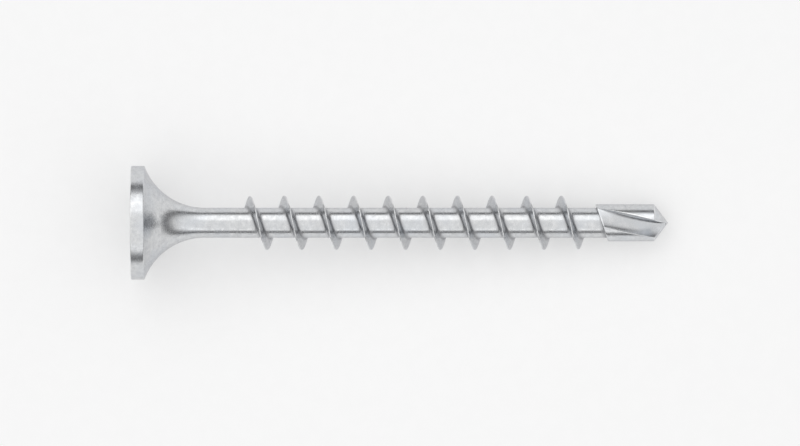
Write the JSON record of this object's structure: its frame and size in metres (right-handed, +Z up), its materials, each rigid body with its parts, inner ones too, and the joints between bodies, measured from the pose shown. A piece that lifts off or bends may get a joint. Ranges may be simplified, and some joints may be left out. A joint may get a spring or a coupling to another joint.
{
  "type": "drywall screw",
  "caption": "Bugle head drywall screw with a coarse right-hand thread and a fluted self-drilling point, lying on its head and thread.",
  "frame": {"origin": "centre of the footprint's box on the surface that the screw lies on, under its axis", "axes": "+Z up from the surface it lies on, +X towards the drill point, so that the head is at -X; the axis dips 4.15 degrees towards +X because the head is wider than the thread"},
  "size_m": [0.0382, 0.008, 0.0081],
  "materials": {
    "plated_steel": "bright zinc plating, satin"
  },
  "bodies": {
    "root": {"screw": "plated_steel"}
  },
  "joints": []
}
